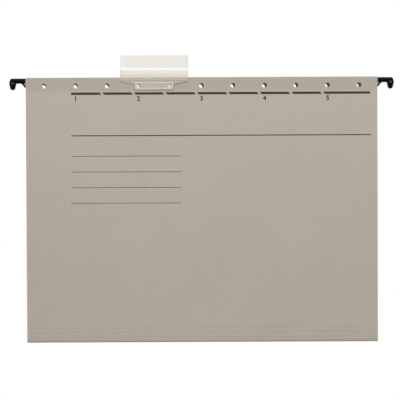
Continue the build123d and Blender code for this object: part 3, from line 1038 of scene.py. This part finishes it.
# The stored tint and haze hold the film's own haze together with the painted shade and painted highlight of
# its edges and rims.
tint = add(tree, "ShaderNodeAttribute", {"attribute_name": "film_tint_and_painted_light"}).outputs["Vector"]
haze = add(tree, "ShaderNodeAttribute", {"attribute_name": "film_haze_and_painted_light"}).outputs["Fac"]
cloud = add(tree, "ShaderNodeMapRange", {0: mottle, "To Min": 0.9, "To Max": 1.1}).outputs[0]
stopped = add(tree, "ShaderNodeMath", {"operation": "MULTIPLY", 0: haze, 1: cloud})
tree.links.new(tint, shader.inputs["Base Color"])
tree.links.new(stopped.outputs[0], shader.inputs["Alpha"])
FILM_SHARP_DEG = 30.0


def clear_piece(name, points, faces, haze, tint):
    """A piece of the tab with its haze and tint, painted shade and highlight included, stored at its points.
    Points are in mm.
    """
    made = new_piece(name, points * MM, faces, pvc_finish, FILM_SHARP_DEG)
    store(made, "film_haze_and_painted_light", haze)
    store(made, "film_tint_and_painted_light", tint)
    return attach(made, "tab")


tab_film = clear_piece(
    "tab_film",
    np.concatenate(film_layers),
    two_sided(film_faces, len(film_px)),
    np.tile(film_haze_and_painted_light, 2),
    np.tile(film_tint_and_painted_light, (2, 1)),
)
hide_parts("tab_holder")
print("film faces", len(tab_film.data.polygons))

# %% [markdown]
# The bead is a rod with rounded ends, drawn as a circle along a line, and it takes the pad rims' near-white
# tint as a painted highlight. A peg is a short turned form, and only its core is clear: its side gets a heavy
# haze as painted shade for the light that it bends away.

# %% Bead
BEAD_END, BEAD_HAZE, BEAD_PARTS = 0.4, 0.14, 12
quarter = np.linspace(0, np.pi / 2, 7)
end_x = tab_half - BEAD_END + BEAD_END * np.sin(quarter)
end_radius = BEAD_RADIUS - BEAD_END + BEAD_END * np.cos(quarter)
rod_x = np.linspace(-end_x[0], end_x[0], BEAD_PARTS)[1:-1]
bead_x = np.concatenate([-end_x[::-1], rod_x, end_x])[:, None]
bead_radius = np.concatenate([end_radius[::-1], np.full(len(rod_x), BEAD_RADIUS), end_radius])[:, None]
bead_out = foot_out - BEAD_RISE * math.sin(TILT) + BEAD_OUT * math.cos(TILT)
bead_height = bend_height + BEAD_RISE * math.cos(TILT) + BEAD_OUT * math.sin(TILT)
around = np.linspace(0, 2 * np.pi, 41)[:-1]
bead_y = -bead_out + bead_radius * np.cos(around)
bead_z = bead_height + bead_radius * np.sin(around)
bead_points, bead_faces = closed_grid(tab_middle + bead_x, bead_y, bead_z)
bead_haze = np.full(len(bead_points), BEAD_HAZE)
# The bead's near-white tint is a painted highlight.
bead_highlight_tint = np.tile(colour(RIM_HIGHLIGHT_TINT), (len(bead_points), 1))
clear_piece("tab_bead", bead_points, bead_faces, bead_haze, bead_highlight_tint)
print("bead faces", len(bead_faces))

# %% Pegs
PEG_RADIUS, PEG_CORE, PEG_ROUND, PEG_ROOT, PEG_COLLAR = 2.05, 1.5, 0.4, 0.1, 1.0
peg_front, peg_back = -panel_low[1] + FILM_PLAY + PEG_ROOT, -tab_high[1]
nose = np.linspace(0, np.pi / 2, 5)
# Rings of a peg from the middle of its front to the middle of its back: radius, place and haze. The heavy
# haze on the side is painted shade.
nose_radius = PEG_RADIUS - PEG_ROUND * (1 - np.cos(nose))
nose_out = peg_back + PEG_ROUND * (1 - np.sin(nose))
ring_radius = [[0.5, 1.1, PEG_CORE, 1.8, PEG_RADIUS, PEG_RADIUS], nose_radius, [0.6]]
ring_out = [[peg_front] * 5, [peg_front - PEG_COLLAR], nose_out, [peg_back]]
ring_haze_and_shade = [[0.16, 0.16, 0.2, 0.6, 0.7, 0.7], np.full(len(nose), 0.5), [0.1]]
ring_radius, ring_out, ring_haze_and_shade = (np.concatenate(v)[:, None] for v in (ring_radius, ring_out, ring_haze_and_shade))
peg_z = hole_height - ring_radius * np.sin(around)
pegs = [
    closed_grid(peg_x + ring_radius * np.cos(around), -ring_out, peg_z)
    for peg_x in hole_x[np.argsort(abs(hole_x - tab_middle))[:2]]
]
peg_points, peg_faces = joined(pegs)
peg_haze_and_shade = np.tile(np.repeat(ring_haze_and_shade, len(around)), len(pegs))
clear_piece("tab_pegs", peg_points, peg_faces, peg_haze_and_shade, np.tile(colour(SLEEVE_TINT), (len(peg_points), 1)))
print("peg faces", len(peg_faces))

# %% [markdown]
# ## Paper label
#
# A strip of white writing paper stands in the sleeve. It is a flat slip, so the frame's own solid stays, and
# the finish gives it the cloudy look that pressed wood fibre has against the light.

# %% Label
# Uncoated writing paper: white, quite flat, with soft clouds of fibre and a fine tooth.
paper_finish = grained(
    "uncoated writing paper",
    {"Roughness": 0.9, "Specular IOR Level": 0.2},
    grain_mm=1.5,
    detail=4.0,
    between={"Base Color": ("#f3f0ec", "#fdfcfa")},
    bump=(0.2, 0.02),
)[0]
label = nodes["tab_label"]
label.data.materials.clear()
label.data.materials.append(paper_finish)
print(paper_finish.name, "on", label.name)

# %% [markdown]
# ## Floor, sky and lamps
#
# The photograph shows the folder hanging in front of plain white, lit softly from the front and a little from
# above. A pale floor lies far enough below for the folder to open out flat. The sky is white where the
# camera sees it, directly, mirrored or through clear film, and gives an even fill elsewhere.

# %% Floor
FLOOR_DROP, FLOOR_HALF = 0.29, 1.1
# Background paper off a roll: white and quite flat, with a tone that drifts a little over a hand's width.
floor_finish = grained(
    "background paper, matt white",
    {"Roughness": 0.95, "Specular IOR Level": 0.1},
    grain_mm=90.0,
    detail=2.0,
    between={"Base Color": ("#f2f1ef", "#f6f5f3")},
)[0]
square = np.array([(-1, -1), (1, -1), (1, 1), (-1, 1)]) * FLOOR_HALF
floor = new_piece("floor", np.column_stack([square, np.full(4, -FLOOR_DROP)]), [[0, 1, 2, 3]], floor_finish)
print("floor at", -FLOOR_DROP, "m")

# %% Sky and lamps
FILL = 0.4
world = bpy.data.worlds.new("studio")
bpy.context.scene.world = world
world.use_nodes = True
tree = world.node_tree
rays = add(tree, "ShaderNodeLightPath", {}).outputs
seen = rays["Is Camera Ray"]
for kind in ("Is Glossy Ray", "Is Transmission Ray"):
    seen = add(tree, "ShaderNodeMath", {"operation": "MAXIMUM", 0: seen, 1: rays[kind]}).outputs[0]
strength = add(tree, "ShaderNodeMapRange", {0: seen, "To Min": FILL, "To Max": 1.0})
sky = tree.nodes["Background"]
sky.inputs["Color"].default_value = (1, 1, 1, 1)
tree.links.new(strength.outputs[0], sky.inputs["Strength"])
# Each lamp is a square that faces its aim: name, place, aim and side in metres, power in watts.
LAMPS = (
    ("key left", (-0.27, -0.8, 0.75), (0, 0, 0.12), 0.14, 3.25),
    ("key right", (0.27, -0.8, 0.75), (0, 0, 0.12), 0.14, 3.25),
    ("back", (0.2, 1.0, 0.9), (0, 0, 0.1), 0.5, 8.0),
)
for name, place, aim, side, power in LAMPS:
    light = bpy.data.lights.new(name, "AREA")
    light.shape, light.size, light.energy = "SQUARE", side, power
    holder = bpy.data.objects.new(name, light)
    holder.location = place
    holder.rotation_euler = (Vector(aim) - Vector(place)).to_track_quat("-Z", "Y").to_euler()
    bpy.context.scene.collection.objects.link(holder)
print("lamps", len(LAMPS))

# %% [markdown]
# ## Camera
#
# The span of the hooks gives the size of one pixel of the photograph. A long lens two metres away keeps the
# outline square. The camera is turned by a quarter of a degree, as the photograph is, and looks down a
# little, because the board there is slightly narrower at its foot.

# %% Camera
PHOTO_PIXELS, HOOKS_PIXELS, HOOKS_MM = 400, 384.4, 348.0
PHOTO_MIDDLE = (202.05, 209.8)
ROLL, PITCH = math.radians(0.25), math.radians(1.45)
DISTANCE = 2.0
pixel = HOOKS_MM / HOOKS_PIXELS * MM
board_middle = Vector((0, panel_low[1] * MM, folder_top / 2 * MM))
offset = Vector((PHOTO_PIXELS / 2 - PHOTO_MIDDLE[0], PHOTO_MIDDLE[1] - PHOTO_PIXELS / 2)) * pixel
turned = Matrix.Rotation(-ROLL, 2) @ offset
lens = bpy.data.cameras.new("photo_view")
lens.sensor_width = 36.0
lens.lens = lens.sensor_width * DISTANCE / (PHOTO_PIXELS * pixel)
lens.clip_start, lens.clip_end = 0.05, 20.0
camera = bpy.data.objects.new("photo_view", lens)
camera.rotation_euler = (math.pi / 2 - PITCH, ROLL, 0)
ahead = camera.rotation_euler.to_matrix() @ Vector((0, 0, -1))
camera.location = board_middle + Vector((turned.x, 0, turned.y)) - DISTANCE * ahead
bpy.context.scene.collection.objects.link(camera)
bpy.context.scene.camera = camera
bpy.context.scene.view_settings.view_transform = "Standard"
print("camera at", [round(v, 4) for v in camera.location], "lens", round(lens.lens, 1))
